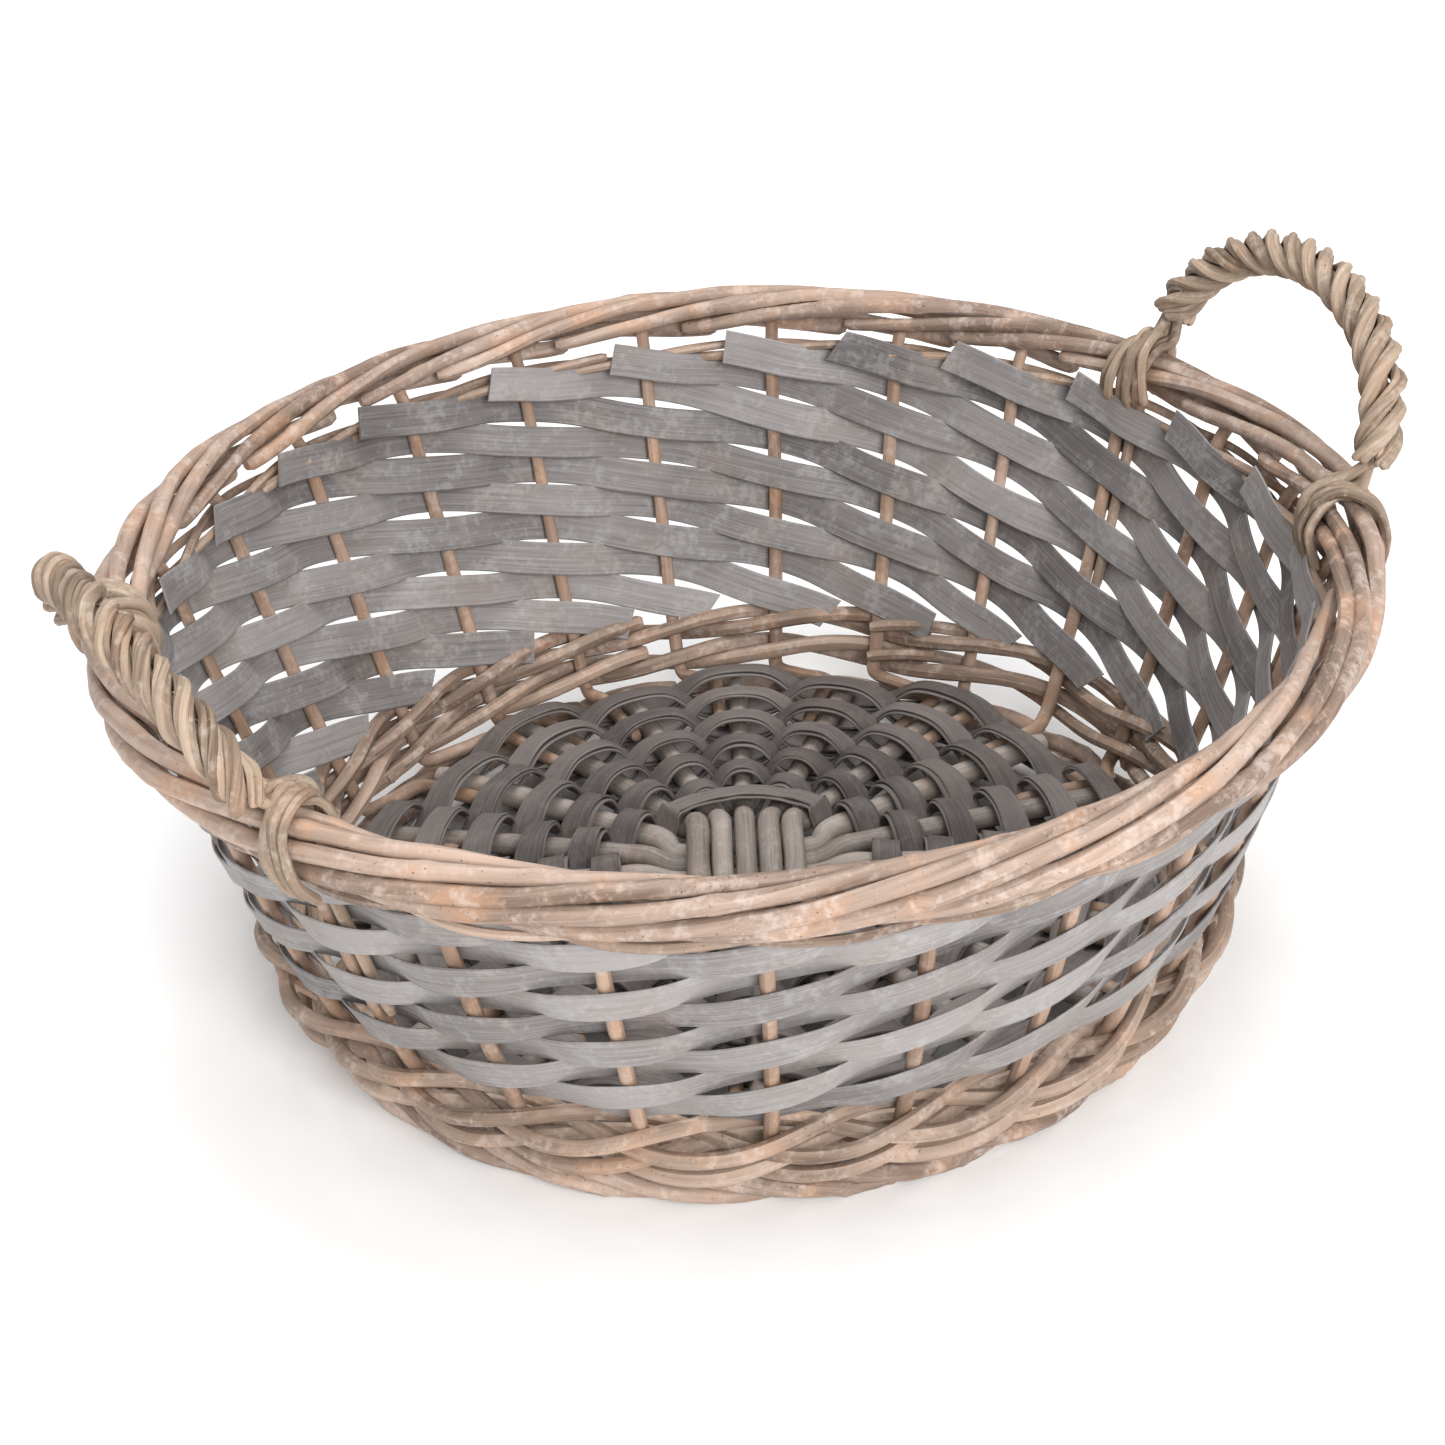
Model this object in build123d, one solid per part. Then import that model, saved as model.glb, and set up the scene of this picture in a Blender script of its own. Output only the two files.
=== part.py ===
from build123d import *
import os
from math import cos, sin, pi, radians, degrees, hypot

os.makedirs("parts", exist_ok=True)

# Driving dimensions, in millimetres and degrees.
# The origin is on the floor at the basket's centre, +Z up, the two handles near +X and -X.
STAKES = 25                # upright side stakes
PITCH = 360 / STAKES       # angle from one stake to the next
STAKE_PHASE = 2.4          # azimuth of the first stake
STAKE_R = 2.25             # stake radius
STAKE_FOOT_R = 100         # where a stake's foot ends inside the base

# Centre line of the wall (the stakes) as (height, radius) pairs.
WALL = ((13, 143.5), (20.5, 146), (30.8, 151), (41, 155.5), (50, 159), (75, 167.5),
        (100, 175.5), (124, 183))

RIM_R = 190.4              # centre circle of the rolled border
RIM_Z = 136.9
RIM_MINOR = 6.6            # border rods turn around that circle at this radius
RIM_ROD_R = 3.0
RIM_SPAN = 5               # stake pitches covered by one border rod
RIM_TURN = (-80, 200)      # angle around the section, from low outside to low inside

FOOT_R = 142.5             # centre circle of the foot border
FOOT_Z = 6.2
FOOT_MINOR = 3.8
FOOT_ROD_R = 2.75
FOOT_SPAN = 2.6
FOOT_TURN = (100, -160)    # from the top over the outside to the low inside

STRIP_W = 9.4              # flat wall strips
STRIP_T = 1.0
STRIP_Z0 = 41.4            # lowest layer
STRIP_RISE = 9.28          # rise of a strip from one stake to the next
STRIP_RUN = (-0.2, 8.2)    # start and end of a strip, in stake pitches
STRIP_OFFSET = 3.2         # distance in front of or behind the stake line

WALE_ROWS = (21.7, 31.5)   # heights of the two lower rows of waling
WALE_ROD_R = 2.4
TOP_WALE_Z = 124.6
TOP_WALE_ROD_R = 1.45

SPOKES = 20                # ends of the ten base sticks
SPOKE_PHASE = -114.0       # direction of the first group of sticks
STICK_R = 3.75
STICK_GAP = 8.0            # spacing of the sticks in the crossing
BASE_R = 134.0             # radius of the woven base
STICK_END_R = 131.0        # where its sticks end
BASE_Z = 22.0              # height of the base at its centre
BASE_CROWN = 5.5           # how much lower its edge is
CROSS_R = 22.0             # half size of the crossing
FAN_R = 34.0               # from here outwards the sticks run radially
RING_R0 = 47.0             # first woven ring over single sticks
RING_STEP = 9.1
RINGS = 10
RING_W = 8.4
RING_T = 2.0
BIND_R = 38.0              # ring that binds the sticks in groups of five

HANDLES = {                # each arch: azimuth, spring (out, z), top (out, z); azimuths of its feet
    "1": ((-4.0, (186.5, 151.0), (207.5, 193.5)), (-24.4, 14.8)),
    "2": ((185.6, (186.0, 147.0), (203.0, 185.5)), (162.8, 206.0)),
}
HANDLE_HALF_WIDTH = 65.0   # half the span of the arch
HANDLE_OVER = ((178, 138), (179, 146.5), (183.5, 150.5), (191, 152))   # bow over the border: r, z
BOW_INSIDE = 7.4           # how far inside the stake line it passes the top waling
HANDLE_DOWN_Z = 62.0       # lower ends of the bow beside the stakes
BOW_R = 1.7
STRANDS = 4
STRAND_R = 2.6
STRAND_MINOR = 4.65
STRAND_PITCH = 36.0
LASH_R = 1.6
LASH_MINOR = 11.5
LASHES = 4


def lerp(table, x):
    """Straight-line interpolation in a table of (x, y) pairs, extended at both ends."""
    for (x0, y0), (x1, y1) in zip(table, table[1:]):
        if x <= x1 or (x1, y1) == table[-1]:
            return y0 + (y1 - y0) * (x - x0) / (x1 - x0)


def polar(r, azimuth, z):
    a = radians(azimuth)
    return Vector(r * cos(a), r * sin(a), z)


def wall_up(z, azimuth):
    """Unit vector up the leaning wall."""
    dr = (lerp(WALL, z + 4) - lerp(WALL, z - 4)) / 8
    return polar(dr, azimuth, 1).normalized()


def outline(points, ref, shape):
    """Closed sections along a path; shape lists (a, b) offsets along ref and across it."""
    wires = []
    last = len(points) - 1
    for i, p in enumerate(points):
        tangent = (points[min(i + 1, last)] - points[max(i - 1, 0)]).normalized()
        r = ref[i] if isinstance(ref, list) else ref
        a = (r - tangent * r.dot(tangent)).normalized()
        b = tangent.cross(a)
        wires.append(Wire.make_polygon([p + a * u + b * v for u, v in shape], close=True))
    return wires


def ruled(points, ref, shape):
    return Solid.make_loft(outline(points, ref, shape), ruled=True)


def round_shape(radius, sides):
    return [(radius * cos(2 * pi * (i + 0.5) / sides), radius * sin(2 * pi * (i + 0.5) / sides))
            for i in range(sides)]


def flat_shape(width, thickness):
    w, t = width / 2, thickness / 2
    return [(w, t), (-w, t), (-w, -t), (w, -t)]


def steps(start, end, count):
    return [start + (end - start) * i / count for i in range(count + 1)]


def save(name, solids):
    group = solids[0] if len(solids) == 1 else Compound(children=solids)
    export_step(group, f"parts/{name}.step", write_pcurves=False)


# ---- base ----------------------------------------------------------------------------------

def base_z(r):
    return BASE_Z - BASE_CROWN * (r / BASE_R) ** 2


def base_stick(direction, index, side):
    """One stick: radial at both ends, straight through the crossing above or below the others."""
    fan = 360 / SPOKES * index
    radii = (STICK_END_R, 110, 85, 60, 42, FAN_R)
    path = [polar(r, direction + fan, base_z(r)) for r in radii]
    a = radians(direction)
    along, across = Vector(cos(a), sin(a), 0), Vector(-sin(a), cos(a), 0)
    level = Vector(0, 0, BASE_Z + side * (STICK_R + 0.15))
    path += [along * s + across * (STICK_GAP * index) + level for s in (CROSS_R, -CROSS_R)]
    path += [polar(r, direction + 180 - fan, base_z(r)) for r in reversed(radii)]
    return ruled(path, Vector(0, 0, 1), round_shape(STICK_R, 8))


def woven_ring(r, lift_at, count):
    """Closed flat strip; lift_at(azimuth) is -1 under the sticks and +1 over them."""
    amplitude = STICK_R + RING_T / 2 + 0.5
    path, ref = [], []
    for az in steps(0, 359.4, count):
        path.append(polar(r, az + SPOKE_PHASE, base_z(r) + amplitude * lift_at(az)))
        ref.append(polar(1, az + SPOKE_PHASE, 0))
    return ruled(path, ref, flat_shape(RING_W, RING_T))


def base_rings():
    gap = 360 / SPOKES

    def single(parity, flatness):
        def lift(az):
            n = round(az / gap)
            wave = min(1.0, flatness * cos(pi * (az / gap - n)))
            return wave * (1 if (n + parity) % 2 else -1)
        return lift

    def grouped(az):
        return max(-1.0, min(1.0, 12 * cos(2 * radians(az))))

    rings = [woven_ring(BIND_R, grouped, 120)]
    for j in range(RINGS):
        r = RING_R0 + RING_STEP * j
        flatness = 1.35 if r + RING_STEP < STAKE_FOOT_R else 1.8
        rings.append(woven_ring(r, single(j, flatness), 4 * SPOKES))
    return rings


# ---- stakes and wall -----------------------------------------------------------------------

def foot_azimuths():
    """Azimuths beside the base sticks: one side of each, both sides of every fourth."""
    gap = 360 / SPOKES
    side = degrees((STICK_R + STAKE_R + 0.4) / (STAKE_FOOT_R + 6))
    slots = []
    for n in range(SPOKES):
        if n % 4 == 0:
            slots.append(gap * n - side)
        slots.append(gap * n + side)
    return [s + SPOKE_PHASE for s in slots]


def stake(azimuth, foot_az):
    """Upright from the base to the inside of the border, with its foot bent into the base."""
    path = [polar(r, foot_az, base_z(r)) for r in (STAKE_FOOT_R, 117, STICK_END_R + 2)]
    path += [polar(138, azimuth + (foot_az - azimuth) * 0.5, 15.9),
             polar(142, azimuth + (foot_az - azimuth) * 0.1, 15.8),
             polar(144.4, azimuth, 17.4)]
    path += [polar(r, azimuth, z) for z, r in WALL[1:]]
    path += [polar(184.2, azimuth, 127.8), polar(187.4, azimuth, 131.5),
             polar(189.6, azimuth, 135.4)]
    ref = [polar(1, azimuth + 90, 0)] * len(path)
    return ruled(path, ref, round_shape(STAKE_R, 8))


def stakes():
    """Stakes matched in order with the foot slots, turned so that the feet bend least."""
    uprights = [STAKE_PHASE + PITCH * k for k in range(STAKES)]
    slots = foot_azimuths()

    def turned(shift):
        pairs = []
        for k, az in enumerate(uprights):
            slot = slots[(k + shift) % STAKES]
            pairs.append((az, az + (slot - az + 180) % 360 - 180))
        return pairs

    best = min((turned(s) for s in range(STAKES)), key=lambda p: max(abs(a - b) for a, b in p))
    return [stake(a, b) for a, b in best]


def wall_strip(k):
    """Flat strip that starts behind stake k and rises one layer with every stake."""
    path, ref = [], []
    for x in [STRIP_RUN[0]] + steps(0, 8, 32) + [STRIP_RUN[1]]:
        z = STRIP_Z0 + STRIP_RISE * x
        az = STAKE_PHASE + PITCH * (k + x)
        wave = max(-1.0, min(1.0, 1.2 * cos(pi * x)))
        path.append(polar(lerp(WALL, z) - STRIP_OFFSET * wave, az, z))
        ref.append(wall_up(z, az))
    return ruled(path, ref, flat_shape(STRIP_W, STRIP_T))


def wale_rod(z, rod_r, turn, per_pitch=4):
    """One of three rods of a waling row: in front of two stakes, behind the next one."""
    reach = STAKE_R + rod_r + 0.3
    swing, shift = reach * 4 / 3, reach / 3
    climb = rod_r * 2.12 / 3 ** 0.5
    path, ref = [], []
    for x in steps(0, STAKES - 0.12, STAKES * per_pitch):
        phase = radians(-60 + 120 * (x + turn))
        az = STAKE_PHASE + PITCH * x
        out = shift + swing * cos(phase)
        up = wall_up(z, az)
        normal = Vector(up.Z * cos(radians(az)), up.Z * sin(radians(az)), -hypot(up.X, up.Y))
        path.append(polar(lerp(WALL, z), az, z) + normal * out + up * (climb * sin(phase)))
        ref.append(up)
    return ruled(path, ref, round_shape(rod_r, 6))


def wale_row(z, rod_r):
    return [wale_rod(z, rod_r, turn) for turn in range(3)]


# ---- borders -------------------------------------------------------------------------------

def border_rod(ring, minor, rod_r, start, span, turn, count):
    """Rod that winds part of a turn around a border's centre circle."""
    ring_r, ring_z = ring
    path, ref = [], []
    for s in steps(0, 1, count):
        az = start + PITCH * span * s
        around = radians(turn[0] + (turn[1] - turn[0]) * s)
        path.append(polar(ring_r + minor * cos(around), az, ring_z + minor * sin(around)))
        ref.append(polar(cos(around), az, sin(around)))
    return ruled(path, ref, round_shape(rod_r, 8))


def rim_border():
    return [border_rod((RIM_R, RIM_Z), RIM_MINOR, RIM_ROD_R, STAKE_PHASE + PITCH * (k + 0.5),
                       RIM_SPAN, RIM_TURN, 20) for k in range(STAKES)]


def foot_border():
    """Foot rods, worn flat where they stand on the floor."""
    floor = Box(400, 400, 20, align=(Align.CENTER, Align.CENTER, Align.MAX))
    rods = []
    for k in range(STAKES):
        rod = border_rod((FOOT_R, FOOT_Z), FOOT_MINOR, FOOT_ROD_R, STAKE_PHASE + PITCH * k,
                         FOOT_SPAN, FOOT_TURN, 12)
        rods += (rod - floor).solids()
    return rods


# ---- handles -------------------------------------------------------------------------------

def arch_point(arch, t):
    """Centre line of the arch: t runs from 0 at one foot to pi at the other."""
    centre_az, spring, top = arch
    a = radians(centre_az)
    out, side = Vector(cos(a), sin(a), 0), Vector(-sin(a), cos(a), 0)
    x, z = (low + (high - low) * sin(t) for low, high in zip(spring, top))
    return out * x - side * (HANDLE_HALF_WIDTH * cos(t)) + Vector(0, 0, z)


def bow_path(arch, feet):
    """Up beside a stake, inwards between two strips, over the border and the arch and down."""

    def leg(foot_az):
        away = (foot_az - STAKE_PHASE) / PITCH
        cross = STRIP_Z0 + STRIP_RISE * (7 + away - round(away))
        line = [(lerp(WALL, z), z) for z in (HANDLE_DOWN_Z, 80, cross - 2.2)]
        line += [(lerp(WALL, z) - BOW_INSIDE, z) for z in (cross + 2.2, 118, 125)]
        points = [polar(r, foot_az, z) for r, z in line]
        arch_az = arch[0] + (18.5 if foot_az > arch[0] else -18.5)
        for i, (r, z) in enumerate(HANDLE_OVER):
            points.append(polar(r, foot_az + (arch_az - foot_az) * i / len(HANDLE_OVER), z))
        return points

    over = [arch_point(arch, t) for t in steps(0.17, pi - 0.17, 24)]
    return leg(feet[0]) + over + leg(feet[1])[::-1]


def bow(arch, feet):
    return ruled(bow_path(arch, feet), polar(1, arch[0], 0), round_shape(BOW_R, 8))


def strand(arch, index):
    """One strand of the roping, wound around the bow above the border."""
    count = 48
    t0, t1 = 0.20, pi - 0.20
    centres = [arch_point(arch, t) for t in steps(t0, t1, count)]
    a = radians(arch[0])
    out = Vector(cos(a), sin(a), 0.0)
    run, path, ref = 0.0, [], []
    for i, c in enumerate(centres):
        if i:
            run += (c - centres[i - 1]).length
        tangent = (centres[min(i + 1, count)] - centres[max(i - 1, 0)]).normalized()
        u = (out - tangent * out.dot(tangent)).normalized()
        v = tangent.cross(u)
        phase = 2 * pi * (run / STRAND_PITCH + index / STRANDS)
        radial = u * cos(phase) + v * sin(phase)
        path.append(c + radial * STRAND_MINOR)
        ref.append(radial)
    return ruled(path, ref, round_shape(STRAND_R, 6))


def lashing(foot_az, direction):
    """Turns of thin rod over the border at one foot of a handle."""
    rods = []
    for n in range(LASHES):
        path, ref = [], []
        for s in steps(0, 1, 14):
            around = radians(-60 + 265 * s)
            az = foot_az + direction * (2.2 + 1.25 * n + 1.6 * s)
            path.append(polar(RIM_R + LASH_MINOR * cos(around), az,
                              RIM_Z + LASH_MINOR * sin(around)))
            ref.append(polar(cos(around), az, sin(around)))
        rods.append(ruled(path, ref, round_shape(LASH_R, 6)))
    return rods


# ---- write every sub-part ------------------------------------------------------------------

for label, first in (("base_sticks_lower", 90), ("base_sticks_upper", 0)):
    side = 1 if first == 0 else -1
    save(label, [base_stick(SPOKE_PHASE + first, i, side) for i in range(-2, 3)])
save("base_weave_rings", base_rings())
save("side_stakes", stakes())
save("foot_border_rods", foot_border())
save("lower_wale_row_1", wale_row(WALE_ROWS[0], WALE_ROD_R))
save("lower_wale_row_2", wale_row(WALE_ROWS[1], WALE_ROD_R))
save("wall_strips", [wall_strip(k) for k in range(STAKES)])
save("top_wale_row", wale_row(TOP_WALE_Z, TOP_WALE_ROD_R))
save("rim_border_rods", rim_border())
for name, (arch, feet) in HANDLES.items():
    save(f"handle_{name}_bow", [bow(arch, feet)])
    save(f"handle_{name}_roping", [strand(arch, i) for i in range(STRANDS)])
    for letter, foot_az, direction in (("a", feet[0], -1), ("b", feet[1], 1)):
        save(f"handle_{name}_lashing_{letter}", lashing(foot_az, direction))
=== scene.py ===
"""Looks of the woven basket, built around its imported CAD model. Lengths are in metres."""

import bpy
import numpy as np
from mathutils import Matrix, Vector


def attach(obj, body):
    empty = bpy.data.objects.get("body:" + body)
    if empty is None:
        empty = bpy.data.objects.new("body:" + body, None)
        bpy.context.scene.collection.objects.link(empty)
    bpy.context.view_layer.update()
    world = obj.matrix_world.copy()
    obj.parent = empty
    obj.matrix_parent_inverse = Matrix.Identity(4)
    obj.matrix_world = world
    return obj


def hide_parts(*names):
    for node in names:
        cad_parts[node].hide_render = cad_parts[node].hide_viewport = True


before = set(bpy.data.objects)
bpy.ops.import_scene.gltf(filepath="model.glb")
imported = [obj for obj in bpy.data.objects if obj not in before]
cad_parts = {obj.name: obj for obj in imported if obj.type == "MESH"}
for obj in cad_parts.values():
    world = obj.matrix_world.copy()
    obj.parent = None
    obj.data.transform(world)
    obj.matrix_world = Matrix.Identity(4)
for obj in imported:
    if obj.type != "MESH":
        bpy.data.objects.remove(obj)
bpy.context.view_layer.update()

# ---- sizes, in metres and degrees -------------------------------------------------------------
# Counts are the CAD part's and centre lines follow it to about 2 mm. The wall strips are an
# exception: they are wider and climb more. Some rods are a little thicker or thinner.

STAKES = 25
PITCH = 360 / STAKES
STAKE_PHASE = 2.4
STAKE_R = 0.0024
STAKE_FOOT_R = 0.100
WALL_Z = np.array([13, 20.5, 30.8, 41, 50, 75, 100, 124]) / 1000
WALL_R = np.array([143.5, 146, 151, 155.5, 159, 167.5, 175.5, 183]) / 1000
WALL_FIT = np.polyfit(WALL_Z, WALL_R, 3)

RIM_R, RIM_Z, RIM_MINOR = 0.1904, 0.1369, 0.0066
RIM_SPAN = 5.0
RIM_TURN = (-80, 200)
RIM_ROD_R = 0.00275
RIM_BULGE = (-18, 0.0042)  # azimuth and size of the place where the rods stand off
FOOT_R, FOOT_Z, FOOT_MINOR = 0.1425, 0.0065, 0.0038
FOOT_SPAN = 2.6
FOOT_TURN = (100, -160)
FOOT_ROD_R = 0.0027

STRIP_W, STRIP_T = 0.0118, 0.0009
STRIP_Z0, STRIP_RISE = 0.0418, 0.0105
STRIP_OFFSET = 0.0032

WALE_ROWS = ((0.0214, 0.0027), (0.0315, 0.0027), (0.1262, 0.0016))

SPOKES = 20
SPOKE_PHASE = -114.0
STICK_R, STICK_GAP = 0.00375, 0.008
BASE_R, BASE_Z, BASE_CROWN = 0.134, 0.022, 0.0055
CROSS_R, FAN_R = 0.022, 0.034
BIND_R = 0.038
RING_R0, RING_STEP, RINGS = 0.047, 0.0091, 10
RING_W, RING_T = 0.0100, 0.0010

HANDLES = {
    "1": ((-4.0, (0.1865, 0.151), (0.2075, 0.1935)), (-24.4, 14.8)),
    "2": ((185.6, (0.186, 0.147), (0.203, 0.1855)), (162.8, 206.0)),
}
HANDLE_HALF_WIDTH = 0.065
HANDLE_OVER = ((0.1805, 0.127), (0.1783, 0.1325), (0.178, 0.138), (0.179, 0.1465), (0.1835, 0.1505),
               (0.191, 0.152))
HANDLE_LEG_Z = (0.062, 0.080, 0.100, 0.112, 0.121)
ARCH_FOOT_TURN = 18.5      # from the middle of a handle to where its arch stands on the border
STRANDS, STRAND_PITCH = 4, 0.040
LASHING_RODS, INWARD_RODS = 8, 5
BOW_R, ROPING_ROD_R, LASHING_ROD_R = 0.0019, 0.00152, 0.00165

BAND_ACROSS = np.array([1, 0.93, 0, -0.93, -1, -0.93, 0, 0.93]) * 0.5
BAND_THROUGH = np.array([0, 1, 1, 1, 0, -1, -1, -1]) * 0.5
BAND_OUTER = BAND_THROUGH > 0

# ---- shapes -----------------------------------------------------------------------------------


def polar(r, azimuth, z):
    """Points at radius r, azimuth in degrees and height z, as an array (..., 3)."""
    r, a, z = np.broadcast_arrays(r, np.radians(azimuth), z)
    return np.stack([r * np.cos(a), r * np.sin(a), z], axis=-1)


def unit(v):
    return v / np.maximum(np.linalg.norm(v, axis=-1, keepdims=True), 1e-9)


def wall_r(z):
    """Radius of the stake line: a cubic fitted to the wall's heights and radii."""
    return np.polyval(WALL_FIT, z)


def base_z(r):
    """Height of the domed base: a parabola falling from its centre to its edge."""
    return BASE_Z - BASE_CROWN * (r / BASE_R) ** 2


def wander(rng, x, size, length):
    """Slow wobble along every rod: three sines of random phase, the longest about length long."""
    rods = x.shape[0]
    total = np.zeros(x.shape)
    for share, factor in ((0.6, 1.0), (0.3, 2.3), (0.2, 4.1)):
        phase = rng.uniform(0, 2 * np.pi, (rods, 1))
        stretch = rng.uniform(0.8, 1.25, (rods, 1))
        total += share * np.sin(2 * np.pi * factor * stretch * x / length + phase)
    return size * total


def skin(name, grid, tone, crease=40):
    """Closed skin over grid[rod, section, corner]: quads round and along, flat cut ends."""
    rods, sections, corners, _ = grid.shape
    index = np.arange(rods * sections * corners).reshape(rods, sections, corners)
    turn = np.roll(index, -1, axis=2)
    quads = np.stack([index[:, :-1], turn[:, :-1], turn[:, 1:], index[:, 1:]], axis=-1)
    run = np.linalg.norm(np.diff(grid, axis=1), axis=-1).mean(axis=2)
    along = np.concatenate([np.zeros((rods, 1)), np.cumsum(run, axis=1)], axis=1)
    side = np.linalg.norm(np.roll(grid, -1, axis=2) - grid, axis=-1)
    around = np.concatenate([np.zeros((rods, sections, 1)), np.cumsum(side, axis=2)], axis=2)
    u = np.stack([around[:, :-1, :-1], around[:, :-1, 1:], around[:, 1:, 1:],
                  around[:, 1:, :-1]], axis=-1)
    v = np.stack([np.broadcast_to(along[:, :-1, None], quads.shape[:3])] * 2
                 + [np.broadcast_to(along[:, 1:, None], quads.shape[:3])] * 2, axis=-1)
    caps = np.concatenate([index[:, 0, ::-1], index[:, -1, :]])
    cap_u = np.concatenate([around[:, 0, :-1][:, ::-1], around[:, -1, :-1]])
    cap_v = np.concatenate([np.zeros((rods, corners)), np.repeat(along[:, -1:], corners, 1)])
    first = grid[:, 0].mean(axis=1)
    flux = np.einsum("rki,rki->", grid[:, 0] - first[:, None],
                     np.cross(unit(grid[:, 1].mean(axis=1) - first)[:, None],
                              np.roll(grid[:, 0], -1, axis=1) - grid[:, 0]))
    loops = np.concatenate([quads.reshape(-1), caps.reshape(-1)])
    uvs = np.stack([np.concatenate([u.reshape(-1), cap_u.reshape(-1)]),
                    np.concatenate([v.reshape(-1), cap_v.reshape(-1)])], axis=-1)
    sizes = np.concatenate([np.full(quads.size // 4, 4), np.full(len(caps), corners)])
    mesh = bpy.data.meshes.new(name)
    mesh.vertices.add(index.size)
    mesh.vertices.foreach_set("co", grid.astype(np.float32).reshape(-1))
    mesh.loops.add(len(loops))
    mesh.loops.foreach_set("vertex_index", loops.astype(np.int32))
    mesh.polygons.add(len(sizes))
    mesh.polygons.foreach_set("loop_start", (np.cumsum(sizes) - sizes).astype(np.int32))
    mesh.polygons.foreach_set("use_smooth", np.ones(len(sizes), dtype=bool))
    layer = mesh.uv_layers.new(name="grain")
    layer.data.foreach_set("uv", uvs.astype(np.float32).reshape(-1))
    shade = mesh.attributes.new("tone", "FLOAT", "POINT")
    tone = np.broadcast_to(np.reshape(tone, (rods, 1, -1)), grid.shape[:3])
    shade.data.foreach_set("value", tone.astype(np.float32).reshape(-1))
    mesh.update(calc_edges=True)
    mesh.validate()
    if flux > 0:
        mesh.flip_normals()
    mesh.set_sharp_from_angle(angle=np.radians(crease))
    piece = bpy.data.objects.new(name, mesh)
    bpy.context.scene.collection.objects.link(piece)
    return piece


def rod_grid(line, radius, ref, sides=8, rng=None):
    """Round rods: circles of the given radius across line[rod, section], flattened a little."""
    tangent = unit(np.gradient(line, axis=1))
    a = unit(ref - tangent * (ref * tangent).sum(axis=-1, keepdims=True))
    b = np.cross(tangent, a)
    angle = 2 * np.pi * np.arange(sides) / sides
    r = np.broadcast_to(radius, line.shape[:2])[:, :, None] * np.ones(sides)
    if rng is not None:
        spin = rng.uniform(0, 2 * np.pi, (line.shape[0], 1, 1))
        r = r * (1 + 0.05 * np.cos(2 * (angle - spin)))
    return (line[:, :, None] + a[:, :, None] * (r * np.cos(angle))[..., None]
            + b[:, :, None] * (r * np.sin(angle))[..., None])


def band_grid(line, across, width, thickness):
    """Flat strips: an eight-cornered section, thin at its edges, across line[rod, section]."""
    tangent = unit(np.gradient(line, axis=1))
    a = unit(across - tangent * (across * tangent).sum(axis=-1, keepdims=True))
    b = np.cross(tangent, a)
    width = np.broadcast_to(width, line.shape[:2])[:, :, None]
    return (line[:, :, None] + a[:, :, None] * (BAND_ACROSS * width)[..., None]
            + b[:, :, None] * (BAND_THROUGH * thickness)[:, None])


def taper_ends(radius, share=0.72):
    """Blunt ends: the first and last section keep only that share of their radius."""
    out = np.array(radius, dtype=float)
    out[:, [0, -1]] *= share
    return out


def curve_through(points, count):
    """Catmull-Rom curve through points[rod, point], sampled evenly in its parameter."""
    p = np.concatenate([2 * points[:, :1] - points[:, 1:2], points,
                        2 * points[:, -1:] - points[:, -2:-1]], axis=1)
    t = np.linspace(0, points.shape[1] - 1 - 1e-9, count)
    i = t.astype(int)
    f = (t - i)[None, :, None]
    a, b, c, d = p[:, i], p[:, i + 1], p[:, i + 2], p[:, i + 3]
    return 0.5 * (2 * b + (c - a) * f + (2 * a - 5 * b + 4 * c - d) * f ** 2
                  + (3 * b - a - 3 * c + d) * f ** 3)


# ---- the basket's pieces ----------------------------------------------------------------------


def wall_strips():
    """Strip k climbs one layer a stake; its offset is the wave tanh(0.9 cos(pi x)).

    x counts stakes from stake k. Half way between two stakes it leans like a shingle, by
    0.15 (1 - wave^2), and past x = 7.3 it is tucked inwards to clear the border."""
    rng = np.random.default_rng(11)
    k = np.arange(STAKES)[:, None]
    s = np.linspace(0, 1, 150)[None, :]
    begin = -0.46 + rng.uniform(-0.12, 0.1, (STAKES, 1))
    end = 8.42 + rng.uniform(-0.14, 0.12, (STAKES, 1))
    x = begin + (end - begin) * s
    z = STRIP_Z0 + STRIP_RISE * x + wander(rng, x, 0.0006, 5.0)
    az = STAKE_PHASE + PITCH * (k + x)
    flat = np.clip(x, 0, 8)
    wave = np.tanh(0.9 * np.cos(np.pi * (flat + 0.35 * (x - flat)))) / np.tanh(0.9)
    tuck = 0.0011 * (x - flat) ** 2 / 0.25 + 0.0032 * np.clip((x - 7.3) / 0.6, 0, 1)
    r = wall_r(z) - STRIP_OFFSET * wave - tuck
    slope = np.polyval(np.polyder(WALL_FIT), z)
    up = unit(polar(slope + 0.15 * (1 - wave ** 2), az, 1.0))
    width = STRIP_W * (1 + 0.03 * rng.standard_normal((STAKES, 1))) + wander(rng, x, 0.00025, 3.0)
    line = polar(r, az, z)
    grid = band_grid(line, up, width, STRIP_T)
    tangent = unit(np.gradient(line, axis=1))
    slant = rng.uniform(-0.55, 0.15, (STAKES, 1, 1))
    near_end = np.exp(-(x[:, -1:] - x) / 0.05) + np.exp(-(x - x[:, :1]) / 0.05)
    shear = slant * near_end[:, :, None] * BAND_ACROSS * STRIP_W
    grid = grid + tangent[:, :, None] * shear[..., None]
    # Painted light: the outer face of every strip gets 0.3 more tone than its inner face, a painted
    # lighter outside standing in for the shade inside the basket; the rest of the tone differs at
    # random from strip to strip.
    tone = rng.uniform(0, 1, (STAKES, 1, 1)) + 0.3 * BAND_OUTER
    return skin("wall_strips_woven", grid, tone, crease=25)


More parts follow.
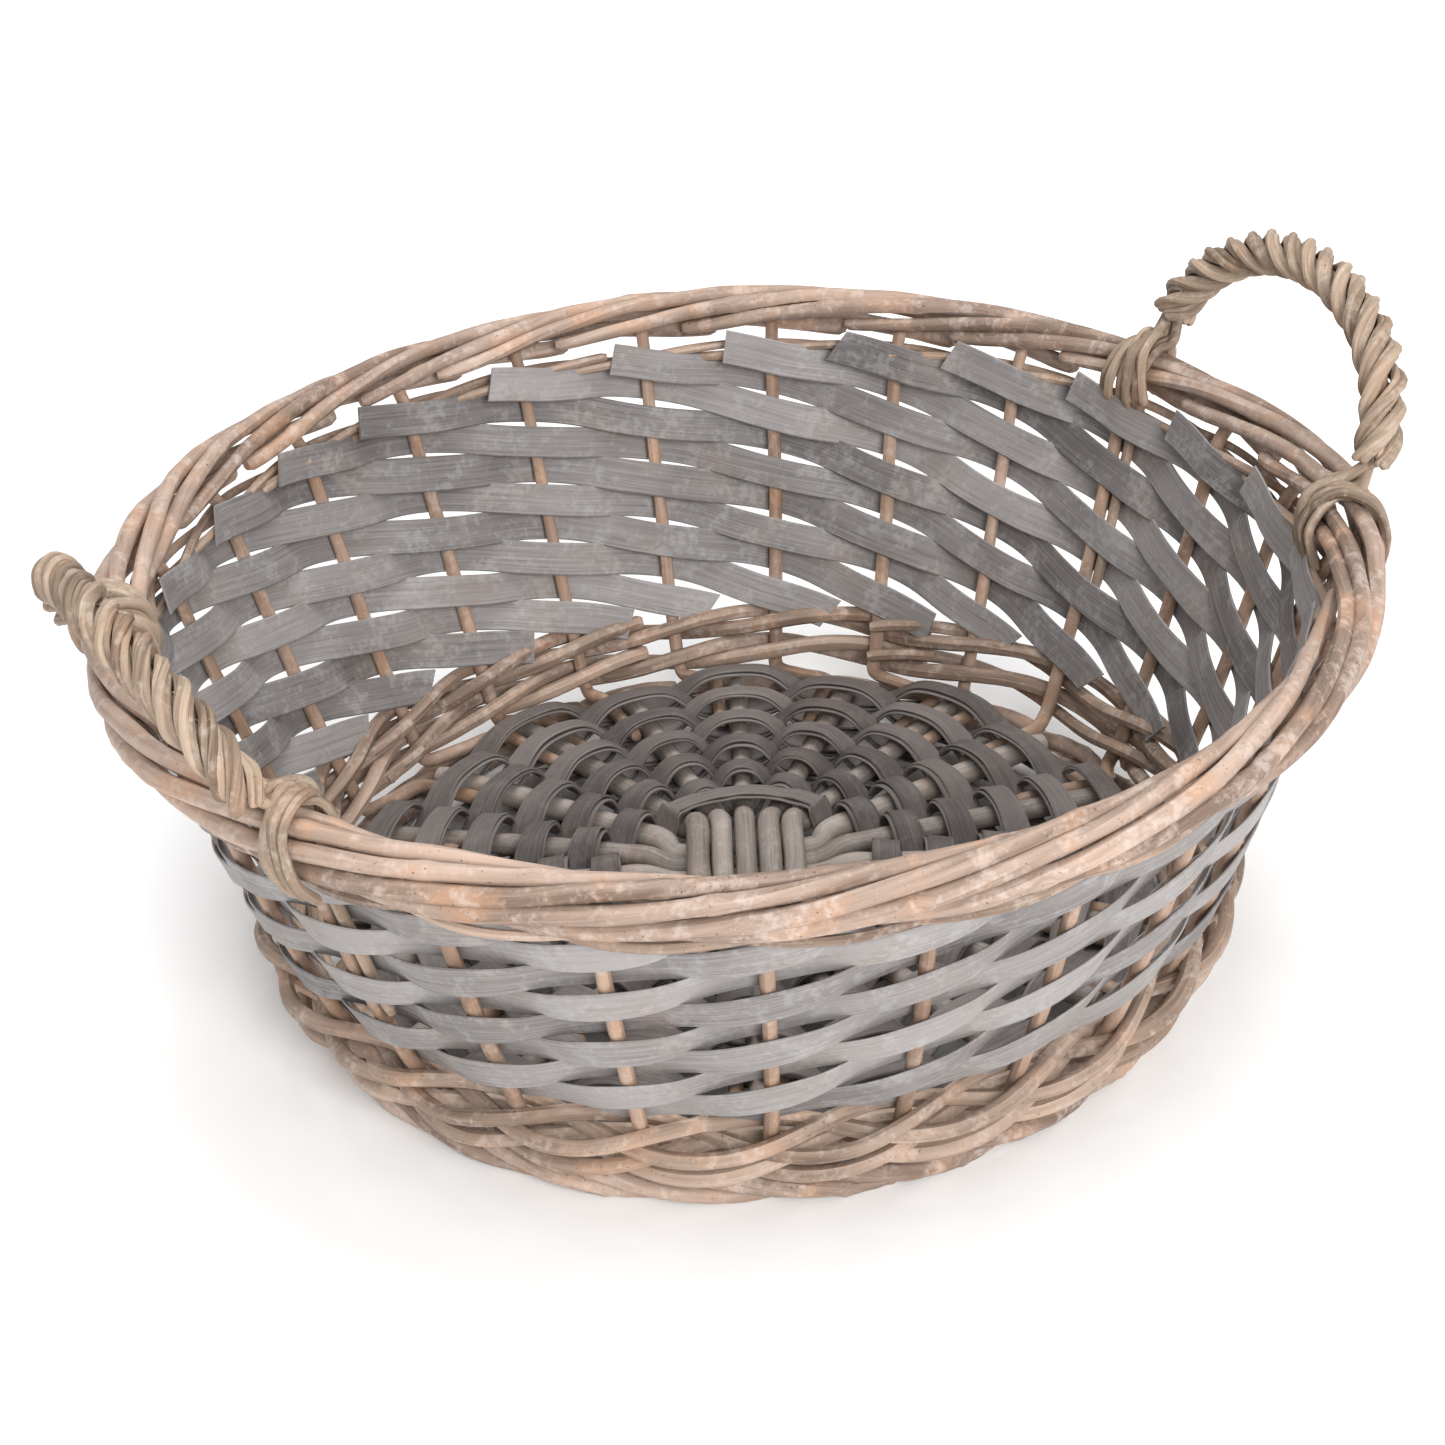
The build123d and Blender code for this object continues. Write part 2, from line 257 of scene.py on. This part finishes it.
def foot_azimuths():
    """Azimuths of the stake feet beside the base sticks, both sides of every fourth one."""
    gap = 360 / SPOKES
    side = np.degrees((STICK_R + STAKE_R + 0.0004) / (STAKE_FOOT_R + 0.006))
    both = [gap * n + d for n in range(SPOKES)
            for d in ((-side, side) if n % 4 == 0 else (side,))]
    return np.array(both) + SPOKE_PHASE


def side_stakes():
    """Rods from beside the base sticks, bent up and along the wall into the border.

    Each is a smooth curve through the dome's parabola, a bend and the wall's cubic."""
    rng = np.random.default_rng(5)
    az = STAKE_PHASE + PITCH * np.arange(STAKES)
    slots = foot_azimuths()
    turns = [(np.roll(slots, -s) - az + 180) % 360 - 180 for s in range(STAKES)]
    shift = min(turns, key=lambda d: np.abs(d).max())
    foot = [(STAKE_FOOT_R, 1), (0.117, 1), (0.133, 1)]
    bend = [(0.138, 0.5, 0.0159), (0.142, 0.1, 0.0158), (0.1444, 0, 0.0174)]
    knots = [polar(r, az + shift * f, base_z(r)) for r, f in foot]
    knots += [polar(r, az + shift * f, z) for r, f, z in bend]
    knots += [polar(wall_r(z), az, z) for z in np.linspace(0.021, 0.126, 8)]
    knots += [polar(0.1874, az, 0.1315), polar(0.1896, az, 0.1354)]
    line = curve_through(np.stack(knots, axis=1), 110)
    s = np.linspace(0, 1, 110)[None, :] * np.ones((STAKES, 1))
    sway = wander(rng, s, 0.0006, 0.9) * np.sin(np.pi * s)
    line = line + polar(1, az[:, None] + 90, 0) * sway[..., None]
    radius = STAKE_R * (1.06 - 0.12 * s) * (1 + wander(rng, s, 0.03, 0.15))
    ref = np.broadcast_to(polar(1, az + 90, 0)[:, None], line.shape)
    return skin("side_stakes_round", rod_grid(line, taper_ends(radius), ref, 10, rng),
                rng.uniform(0, 1, STAKES))


def wale_row(name, z0, rod_r, seed):
    """Three rods 120 degrees apart on an ellipse that turns a third for every stake.

    Every rod goes round the basket in three lengths whose ends are tucked inside."""
    rng = np.random.default_rng(seed)
    rods, lengths = 3, 3
    turn = np.repeat(np.arange(rods), lengths)[:, None]
    part = np.tile(np.arange(lengths), rods)[:, None]
    share = STAKES / lengths
    s = np.linspace(0, 1, 190)[None, :]
    x = (part + turn / rods) * share - 0.25 + (share + 0.5) * s
    phase = np.radians(-60 + 120 * (x + turn))
    phase = phase + wander(rng, x, 0.10, 4.0)
    reach = STAKE_R + rod_r + 0.0001
    tuck = 0.0018 * (np.exp(-s / 0.015) + np.exp(-(1 - s) / 0.015))
    out = reach / 3 + reach * 4 / 3 * np.cos(phase) - tuck
    climb = rod_r * 2.12 / 3 ** 0.5 * np.sin(phase) + wander(rng, x, rod_r * 0.14, 5.0)
    az = STAKE_PHASE + PITCH * x
    slope = np.polyval(np.polyder(WALL_FIT), z0)
    up = unit(polar(slope, az, 1.0))
    normal = unit(polar(1.0, az, -slope))
    line = polar(wall_r(z0), az, z0) + normal * out[..., None] + up * climb[..., None]
    radius = rod_r * (1.08 - 0.2 * s) * (1 + wander(rng, s, 0.035, 0.12))
    grid = rod_grid(line, taper_ends(radius), up, 8, rng)
    return skin(name, grid, rng.uniform(0, 1, rods * lengths))


def border(name, ring, minor, rod_r, span, turn, phase, seed, loose, bulge=(0, 0)):
    """Rods that each wind part of a turn round a centre circle, overlapping their neighbours.

    On the outer side they stand off by bulge[1] exp(-(d/14)^2), d the degrees from bulge[0]."""
    rng = np.random.default_rng(seed)
    k = np.arange(STAKES)[:, None]
    s = np.linspace(0, 1, 120)[None, :] * np.ones((STAKES, 1))
    reach = span + rng.uniform(-0.25, 0.25, (STAKES, 1))
    az = STAKE_PHASE + PITCH * (k + phase + reach * s + rng.uniform(-0.1, 0.1, (STAKES, 1)))
    around = np.radians(turn[0] + (turn[1] - turn[0]) * s) + wander(rng, s, 0.09 * loose, 0.8)
    dip = 1 - 0.22 * (np.exp(-s / 0.03) + np.exp(-(1 - s) / 0.03))
    away = (az - bulge[0] + 180) % 360 - 180
    m = minor * dip + wander(rng, s, 0.0004 * loose, 0.6)
    m = m + rng.normal(0, 0.00035 * loose, (STAKES, 1))
    m = m + bulge[1] * np.exp(-(away / 14) ** 2) * np.clip(np.cos(around - 0.2), 0, 1)
    line = polar(ring[0] + m * np.cos(around), az, ring[1] + m * np.sin(around))
    knots = np.zeros(s.shape)
    for _ in range(2):
        at = rng.uniform(0.1, 0.9, (STAKES, 1))
        knots += 0.16 * np.exp(-((s - at) / 0.012) ** 2)
    radius = rod_r * (1.12 - 0.22 * s + knots + wander(rng, s, 0.03, 0.2))
    ref = polar(np.cos(around), az, np.sin(around))
    grid = rod_grid(line, taper_ends(radius), ref, 10, rng)
    return skin(name, grid, rng.uniform(0, 1, STAKES))


def base_sticks(name, direction, side, seed):
    """Five sticks that run straight through the crossing and fan out to the edge."""
    rng = np.random.default_rng(seed)
    i = np.arange(-2, 3)
    fan = 360 / SPOKES * i
    radii = (0.1315, 0.110, 0.085, 0.060, 0.044, FAN_R)
    level = BASE_Z + side * (STICK_R + 0.00015)
    a = np.radians(direction)
    along, across = np.array([np.cos(a), np.sin(a), 0]), np.array([-np.sin(a), np.cos(a), 0])
    middle = [along * s + across * (STICK_GAP * i)[:, None] + np.array([0, 0, level])
              for s in (CROSS_R, 0, -CROSS_R)]
    knots = [polar(r, direction + fan, base_z(r)) for r in radii] + middle
    knots += [polar(r, direction + 180 - fan, base_z(r)) for r in reversed(radii)]
    line = curve_through(np.stack(knots, axis=1), 90)
    s = np.linspace(0, 1, 90)[None, :] * np.ones((5, 1))
    radius = STICK_R * (1 + wander(rng, s, 0.03, 0.2)) * rng.uniform(0.94, 1.04, (5, 1))
    ref = np.broadcast_to(np.array([0, 0, 1.0]), line.shape)
    return skin(name, rod_grid(line, taper_ends(radius, share=0.85), ref, 12, rng),
                rng.uniform(0, 1, 5))


def base_weave():
    """Doubled flat strips: rings whose height swings over one stick and under the next.

    The height is the wave tanh(c cos(pi x)), with x the stick gaps from the nearest stick and c
    growing outwards. The ring at the crossing goes over and under groups of five sticks."""
    rng = np.random.default_rng(23)
    gap = 360 / SPOKES
    az = np.linspace(0, 359.2, 620)
    nearest = np.round(az / gap)
    rows, radii = [], []
    for j in range(RINGS):
        steep = 1.2 + 0.07 * j
        wave = np.tanh(steep * np.cos(np.pi * (az / gap - nearest))) / np.tanh(steep)
        rows.append(wave * np.where((nearest + j) % 2 == 1, 1, -1))
        radii.append(RING_R0 + RING_STEP * j)
    rows.insert(0, np.clip(9 * np.cos(2 * np.radians(az)), -1, 1))
    radii.insert(0, BIND_R)
    lift, r0 = np.array(rows), np.array(radii)[:, None]
    grids = []
    round_az = az[None, :] * np.ones((len(rows), 1))
    for layer in (-0.5, 0.5):
        wobble = wander(rng, round_az, 0.0005, 140.0)
        r = r0 + wobble + layer * 0.0006 - 0.0009 * np.clip(lift, 0, 1)
        z = base_z(r0) + (STICK_R + RING_T + 0.0006) * lift + layer * RING_T * 1.15
        z = z + 0.0016 * np.clip(lift, 0, 1) ** 2 + wander(rng, round_az, 0.0003, 60.0)
        turn = SPOKE_PHASE + az[None, :]
        line = polar(r, turn, z)
        tilt = 0.28 * np.clip(lift, -0.2, 1)
        across = polar(1.0, turn, -tilt)
        grids.append(band_grid(line, across, RING_W * (1 - 0.06 * (layer > 0)), RING_T))
    grid = np.concatenate(grids)
    return skin("base_weave_strips", grid, rng.uniform(0, 1, grid.shape[0]), crease=50)


# ---- handles ----------------------------------------------------------------------------------


def arch_line(arch, t):
    """Centre line of a handle's arch: half an ellipse that leans outwards from foot to top."""
    centre, spring, top = arch
    out, side = polar(1, centre, 0), polar(1, centre + 90, 0)
    reach, z = (low + (high - low) * np.sin(t) for low, high in zip(spring, top))
    return (out * reach[..., None] - side * (HANDLE_HALF_WIDTH * np.cos(t))[..., None]
            + np.array([0, 0, 1]) * z[..., None])


def handle_bow(name, arch, feet):
    """Rod up beside a stake, over the border and the arch and down beside another stake."""

    def leg(foot_az):
        low, over = np.array(HANDLE_LEG_Z), np.array(HANDLE_OVER)
        arch_az = arch[0] + ARCH_FOOT_TURN * np.sign(foot_az - arch[0])
        az = foot_az + (arch_az - foot_az) * np.arange(len(over)) / len(over)
        return np.concatenate([polar(wall_r(low), foot_az, low), polar(over[:, 0], az, over[:, 1])])

    t = np.linspace(0.17, np.pi - 0.17, 25)
    knots = np.concatenate([leg(feet[0]), arch_line(arch, t), leg(feet[1])[::-1]])
    line = curve_through(knots[None], 220)
    ref = np.broadcast_to(polar(1, arch[0], 0), line.shape)
    radius = taper_ends(np.full(line.shape[:2], BOW_R))
    return skin(name, rod_grid(line, radius, ref, 10), np.array([0.5]))


def handle_roping(name, arch, seed):
    """Four strands of three rods: helices round the arch, the middle rod of each proudest."""
    rng = np.random.default_rng(seed)
    count = 300
    t = np.linspace(0.13, np.pi - 0.13, count)
    line = arch_line(arch, t)
    run = np.concatenate([[0], np.cumsum(np.linalg.norm(np.diff(line, axis=0), axis=-1))])
    tangent = unit(np.gradient(line, axis=0))
    out = polar(1, arch[0], 0)
    u = unit(out - tangent * (tangent @ out)[:, None])
    v = np.cross(tangent, u)
    rods = STRANDS * 3
    strand, rod = np.divmod(np.arange(rods), 3)
    x = run[None, :] * np.ones((rods, 1))
    shared = np.repeat(wander(rng, x[::3], 0.16, 0.09), 3, axis=0)
    roll = 0.30 * (rod - 1)[:, None] + wander(rng, x, 0.06, 0.05)
    twist = 2 * np.pi * (x / STRAND_PITCH + strand[:, None] / STRANDS) + roll + shared
    bulge = np.repeat(wander(rng, x[::3], 0.0004, 0.03), 3, axis=0)
    minor = np.where(rod == 1, 0.0060, 0.0046)[:, None] + bulge + wander(rng, x, 0.0003, 0.03)
    radial = u[None] * np.cos(twist)[..., None] + v[None] * np.sin(twist)[..., None]
    path = line[None] + radial * minor[..., None]
    radius = ROPING_ROD_R * (1 + wander(rng, x, 0.07, 0.03)) * rng.uniform(0.88, 1.1, (rods, 1))
    return skin(name, rod_grid(path, taper_ends(radius), radial, 8, rng),
                rng.uniform(0, 1, rods))


def handle_lashing(name, arch, foot_az, seed):
    """Rod ends at a foot: five from the rope over the border inwards, three crossing outwards.

    Each is a smooth curve through points given as the distance m from the border's centre
    circle and the angle round it."""
    rng = np.random.default_rng(seed)
    way = np.sign(foot_az - arch[0])
    t = 0.30 if way < 0 else np.pi - 0.30
    start = arch_line(arch, np.array([t, t + way * 0.13]))
    arch_az = arch[0] + ARCH_FOOT_TURN * way
    inward = ((0.0135, 72), (0.0122, 100), (0.0116, 135), (0.0116, 170), (0.0120, 203), (0.0128, 228))
    outward = ((0.0122, 205), (0.0120, 165), (0.0136, 125), (0.0146, 88), (0.0136, 50), (0.0124, 10),
               (0.0126, -30), (0.0134, -58))
    lines = []
    for row in range(LASHING_RODS):
        course = inward if row < INWARD_RODS else outward
        m, around = np.array(course).T
        m = m + rng.normal(0, 0.0004, m.shape) + (0.0011 if row in (1, 3) else 0)
        around = np.radians(around + rng.normal(0, 4, around.shape))
        s = np.linspace(0, 1, len(m))
        if row < INWARD_RODS:
            az = arch_az + way * (0.85 * (row - 2) + s * (1.2 + 0.5 * row))
            lead = start + polar(0.0012 * (row - 2), arch_az + 90, 0)
        else:
            az = foot_az + way * (0.9 * (row - 6) - 1.6 + 4.6 * s)
            lead = start[:0]
        ring = polar(RIM_R + m * np.cos(around), az, RIM_Z + m * np.sin(around))
        lines.append(curve_through(np.concatenate([lead, ring])[None], 60)[0])
    line = np.array(lines)
    ring_az = np.degrees(np.arctan2(line[..., 1], line[..., 0]))
    ref = line - polar(RIM_R, ring_az, RIM_Z)
    s = np.linspace(0, 1, 60)[None, :] * np.ones((LASHING_RODS, 1))
    radius = LASHING_ROD_R * (1 + wander(rng, s, 0.07, 0.4))
    radius = radius * rng.uniform(0.9, 1.12, (LASHING_RODS, 1))
    return skin(name, rod_grid(line, taper_ends(radius), ref, 8, rng),
                rng.uniform(0, 1, LASHING_RODS))


# ---- materials --------------------------------------------------------------------------------


def new_group(name, inputs, outputs):
    group = bpy.data.node_groups.new(name, "ShaderNodeTree")
    for label, kind, value in inputs:
        socket = group.interface.new_socket(label, in_out="INPUT", socket_type=kind)
        if value is not None:
            socket.default_value = value
    for label, kind in outputs:
        group.interface.new_socket(label, in_out="OUTPUT", socket_type=kind)
    return group, group.nodes.new("NodeGroupInput"), group.nodes.new("NodeGroupOutput")


def math_node(tree, operation, a, b=None, clamp=False):
    node = tree.nodes.new("ShaderNodeMath")
    node.operation, node.use_clamp = operation, clamp
    for socket, value in zip(node.inputs, (a, b)):
        if isinstance(value, (int, float)):
            socket.default_value = value
        elif value is not None:
            tree.links.new(value, socket)
    return node.outputs[0]


def ramp(tree, value, low, high):
    node = tree.nodes.new("ShaderNodeMapRange")
    node.inputs["From Min"].default_value = low
    node.inputs["From Max"].default_value = high
    tree.links.new(value, node.inputs["Value"])
    return node.outputs["Result"]


def mix(tree, factor, a, b):
    node = tree.nodes.new("ShaderNodeMix")
    node.data_type = "RGBA"
    tree.links.new(factor, node.inputs["Factor"])
    for socket, value in ((node.inputs["A"], a), (node.inputs["B"], b)):
        if isinstance(value, tuple):
            socket.default_value = value
        else:
            tree.links.new(value, socket)
    return node.outputs["Result"]


def noise(tree, vector, scale, detail=3.0, rough=0.55):
    node = tree.nodes.new("ShaderNodeTexNoise")
    node.inputs["Scale"].default_value = scale
    node.inputs["Detail"].default_value = detail
    node.inputs["Roughness"].default_value = rough
    tree.links.new(vector, node.inputs["Vector"])
    return node.outputs["Fac"]


def wood_surface():
    """Group: streaks along the piece's own grain, blotches, dark specks and a pale bloom."""
    group, given, made = new_group(
        "wood_surface",
        [("Dark", "NodeSocketColor", (0.2, 0.2, 0.2, 1)),
         ("Light", "NodeSocketColor", (0.5, 0.5, 0.5, 1)),
         ("Stain", "NodeSocketColor", (0.5, 0.3, 0.2, 1)),
         ("Bloom", "NodeSocketColor", (0.8, 0.8, 0.8, 1)),
         ("Fibre Scale", "NodeSocketFloat", 900.0), ("Stain Amount", "NodeSocketFloat", 0.3),
         ("Bloom Amount", "NodeSocketFloat", 0.3), ("Speck Amount", "NodeSocketFloat", 0.3)],
        [("Color", "NodeSocketColor"), ("Roughness", "NodeSocketFloat"), ("Height", "NodeSocketFloat")])
    uv = group.nodes.new("ShaderNodeUVMap")
    uv.uv_map = "grain"
    tone = group.nodes.new("ShaderNodeAttribute")
    tone.attribute_name = "tone"
    split = group.nodes.new("ShaderNodeSeparateXYZ")
    group.links.new(uv.outputs["UV"], split.inputs[0])
    own = math_node(group, "MULTIPLY", tone.outputs["Fac"], 37.0)
    across = math_node(group, "MULTIPLY", split.outputs["X"], given.outputs["Fibre Scale"])
    along = math_node(group, "MULTIPLY", split.outputs["Y"], 28.0)
    grain = group.nodes.new("ShaderNodeCombineXYZ")
    for socket, value in zip(grain.inputs, (across, along, own)):
        group.links.new(value, socket)
    fibres = noise(group, grain.outputs[0], 1.0, 4.0, 0.62)
    place = group.nodes.new("ShaderNodeTexCoord").outputs["Object"]
    blotch = noise(group, place, 26.0, 3.0)
    fine = noise(group, place, 420.0, 2.0)
    speck = noise(group, place, 900.0, 1.0)
    shade = math_node(group, "ADD", math_node(group, "MULTIPLY", fibres, 0.62),
                      math_node(group, "MULTIPLY", blotch, 0.38))
    # The tone attribute shifts the shade: at random from piece to piece, and on the wall strips also as
    # painted light, their outer face lighter than the inner.
    shade = math_node(group, "ADD", shade, math_node(
        group, "MULTIPLY", math_node(group, "SUBTRACT", tone.outputs["Fac"], 0.5), 0.30))
    colour = mix(group, ramp(group, shade, 0.30, 0.72), given.outputs["Dark"], given.outputs["Light"])
    patch = math_node(group, "MULTIPLY", ramp(group, noise(group, place, 48.0, 4.0), 0.52, 0.66),
                      given.outputs["Stain Amount"], clamp=True)
    colour = mix(group, patch, colour, given.outputs["Stain"])
    chalk = math_node(group, "MULTIPLY", ramp(group, math_node(
        group, "MULTIPLY", noise(group, place, 95.0, 5.0, 0.7), math_node(group, "ADD", fine, 0.5)),
        0.50, 0.66), given.outputs["Bloom Amount"], clamp=True)
    colour = mix(group, chalk, colour, given.outputs["Bloom"])
    dirt = math_node(group, "MULTIPLY", ramp(group, speck, 0.70, 0.78),
                     given.outputs["Speck Amount"], clamp=True)
    colour = mix(group, dirt, colour, (0.03, 0.022, 0.018, 1))
    group.links.new(colour, made.inputs["Color"])
    group.links.new(ramp(group, fibres, 1.6, -0.4), made.inputs["Roughness"])
    group.links.new(math_node(group, "ADD", fibres, math_node(group, "MULTIPLY", fine, 0.35)),
                    made.inputs["Height"])
    return group


WOOD = wood_surface()


def wood(name, dark, light, stain, bloom, fibre=900.0, amounts=(0.3, 0.3, 0.3), bump=0.25,
         depth=0.0003):
    """Matt wood with its own colours, grain scale and amounts of stain, bloom and specks."""
    material = bpy.data.materials.new(name)
    material.use_nodes = True
    tree = material.node_tree
    shader = tree.nodes["Principled BSDF"]
    surface = tree.nodes.new("ShaderNodeGroup")
    surface.node_tree = WOOD
    for label, colour in (("Dark", dark), ("Light", light), ("Stain", stain), ("Bloom", bloom)):
        surface.inputs[label].default_value = (*colour, 1)
    surface.inputs["Fibre Scale"].default_value = fibre
    for label, value in zip(("Stain Amount", "Bloom Amount", "Speck Amount"), amounts):
        surface.inputs[label].default_value = value
    relief = tree.nodes.new("ShaderNodeBump")
    relief.inputs["Strength"].default_value = bump
    relief.inputs["Distance"].default_value = depth
    tree.links.new(surface.outputs["Color"], shader.inputs["Base Color"])
    tree.links.new(surface.outputs["Roughness"], shader.inputs["Roughness"])
    tree.links.new(surface.outputs["Height"], relief.inputs["Height"])
    tree.links.new(relief.outputs["Normal"], shader.inputs["Normal"])
    shader.inputs["Specular IOR Level"].default_value = 0.3
    return material


GREY_CHIP = wood("grey_chip_strip", (0.112, 0.101, 0.099), (0.305, 0.284, 0.276), (0.24, 0.19, 0.16),
                 (0.46, 0.46, 0.47), fibre=1500.0, amounts=(0.45, 0.25, 0.15), bump=0.35)
GREY_SPLIT = wood("grey_base_strip", (0.085, 0.073, 0.069), (0.20, 0.176, 0.166), (0.15, 0.11, 0.09),
                  (0.30, 0.28, 0.27), fibre=1300.0, amounts=(0.3, 0.15, 0.2), bump=0.4)
GREY_STICK = wood("grey_base_stick", (0.15, 0.125, 0.110), (0.37, 0.320, 0.285), (0.32, 0.20, 0.13),
                  (0.50, 0.47, 0.44), fibre=1100.0, amounts=(0.3, 0.25, 0.4), bump=0.4)
TAN_STAKE = wood("tan_stake", (0.20, 0.125, 0.085), (0.42, 0.29, 0.215), (0.47, 0.26, 0.15),
                 (0.55, 0.46, 0.40), fibre=500.0, amounts=(0.45, 0.3, 0.3), bump=0.2)
PINK_WILLOW = wood("pink_beige_willow", (0.17, 0.115, 0.085), (0.47, 0.345, 0.275), (0.47, 0.27, 0.165),
                   (0.58, 0.49, 0.44), fibre=420.0, amounts=(0.6, 0.45, 0.7), bump=0.3)
BROWN_WILLOW = wood("beige_brown_willow", (0.16, 0.108, 0.078), (0.45, 0.33, 0.255), (0.46, 0.27, 0.17),
                    (0.58, 0.50, 0.44), fibre=450.0, amounts=(0.45, 0.35, 0.6), bump=0.25)
TWIST_WILLOW = wood("beige_twist", (0.14, 0.095, 0.065), (0.42, 0.315, 0.235), (0.42, 0.25, 0.155),
                    (0.53, 0.46, 0.38), fibre=800.0, amounts=(0.35, 0.35, 0.45), bump=0.35)


def add(piece, material, slot, *nodes):
    piece.data.materials.append(material)
    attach(piece, "root")
    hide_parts(*nodes)


add(wall_strips(), GREY_CHIP, "wall_strip", "wall_strips")
add(side_stakes(), TAN_STAKE, "stake", "side_stakes")
add(wale_row("lower_waling_1", *WALE_ROWS[0], 31), BROWN_WILLOW, "wale_rod", "lower_wale_row_1")
add(wale_row("lower_waling_2", *WALE_ROWS[1], 32), BROWN_WILLOW, "wale_rod", "lower_wale_row_2")
add(wale_row("top_waling", *WALE_ROWS[2], 33), BROWN_WILLOW, "wale_rod", "top_wale_row")
add(border("rim_border_rolled", (RIM_R, RIM_Z), RIM_MINOR, RIM_ROD_R, RIM_SPAN, RIM_TURN,
           phase=0.5, seed=41, loose=1.3, bulge=RIM_BULGE),
    PINK_WILLOW, "border_rod", "rim_border_rods")
add(border("foot_border_rolled", (FOOT_R, FOOT_Z), FOOT_MINOR, FOOT_ROD_R, FOOT_SPAN, FOOT_TURN,
           phase=0.0, seed=42, loose=0.6),
    PINK_WILLOW, "border_rod", "foot_border_rods")
add(base_sticks("base_sticks_across", SPOKE_PHASE + 90, -1, 51), GREY_STICK, "stick",
    "base_sticks_lower")
add(base_sticks("base_sticks_along", SPOKE_PHASE, 1, 52), GREY_STICK, "stick",
    "base_sticks_upper")
add(base_weave(), GREY_SPLIT, "base_strip", "base_weave_rings")
for number, (arch, feet) in HANDLES.items():
    add(handle_bow(f"handle_{number}_core", arch, feet), TWIST_WILLOW, "handle_rod",
        f"handle_{number}_bow")
    add(handle_roping(f"handle_{number}_twist", arch, 60 + int(number)), TWIST_WILLOW, "handle_rod",
        f"handle_{number}_roping")
    for letter, foot_az, seed in (("a", feet[0], 70), ("b", feet[1], 80)):
        add(handle_lashing(f"handle_{number}_ties_{letter}", arch, foot_az, seed + int(number)),
            TWIST_WILLOW, "handle_rod", f"handle_{number}_lashing_{letter}")


# ---- floor, light and camera ------------------------------------------------------------------


def floor():
    mesh = bpy.data.meshes.new("studio_floor")
    size = 6.0
    mesh.from_pydata([(-size, -size, 0), (size, -size, 0), (size, size, 0), (-size, size, 0)], [],
                     [(0, 1, 2, 3)])
    plane = bpy.data.objects.new("studio_floor", mesh)
    bpy.context.scene.collection.objects.link(plane)
    material = bpy.data.materials.new("pale_floor")
    material.use_nodes = True
    shader = material.node_tree.nodes["Principled BSDF"]
    shader.inputs["Base Color"].default_value = (0.93, 0.93, 0.93, 1)
    shader.inputs["Roughness"].default_value = 0.9
    mesh.materials.append(material)


def soft_light(name, place, target, size, power):
    light = bpy.data.lights.new(name, "AREA")
    light.shape, light.size, light.energy = "DISK", size, power
    lamp = bpy.data.objects.new(name, light)
    lamp.location = place
    lamp.rotation_euler = (Vector(target) - Vector(place)).to_track_quat("-Z", "Y").to_euler()
    bpy.context.scene.collection.objects.link(lamp)


def camera():
    """Looks down 31 degrees from the front, turned 24 degrees to the left of -Y, a little rolled."""
    turn, tilt, roll = np.radians(-24.0), np.radians(31.0), np.radians(-3.15)
    distance, target_z = 1.0, 0.0783
    back = Vector((np.sin(turn) * np.cos(tilt), -np.cos(turn) * np.cos(tilt), np.sin(tilt)))
    right = (-back).cross(Vector((0, 0, 1))).normalized()
    up = right.cross(-back)
    side = right * np.cos(roll) + up * np.sin(roll)
    top = -right * np.sin(roll) + up * np.cos(roll)
    data = bpy.data.cameras.new("view_camera")
    data.sensor_width, data.lens = 36.0, 77.6
    data.shift_x = -0.0115
    rig = bpy.data.objects.new("view_camera", data)
    rig.matrix_world = Matrix(((side.x, top.x, back.x, back.x * distance),
                               (side.y, top.y, back.y, back.y * distance),
                               (side.z, top.z, back.z, back.z * distance + target_z),
                               (0, 0, 0, 1)))
    bpy.context.scene.collection.objects.link(rig)
    bpy.context.scene.camera = rig


def surroundings(strength):
    world = bpy.data.worlds.new("soft_white")
    world.use_nodes = True
    world.node_tree.nodes["Background"].inputs["Color"].default_value = (1, 1, 1, 1)
    world.node_tree.nodes["Background"].inputs["Strength"].default_value = strength
    bpy.context.scene.world = world


floor()
surroundings(0.75)
soft_light("key", (-0.2, -2.4, 1.35), (0, 0, 0.08), 1.3, 66)
soft_light("top", (0.3, 0.5, 2.6), (0, 0, 0.05), 2.0, 40)
camera()
bpy.context.scene.view_settings.view_transform = "Standard"
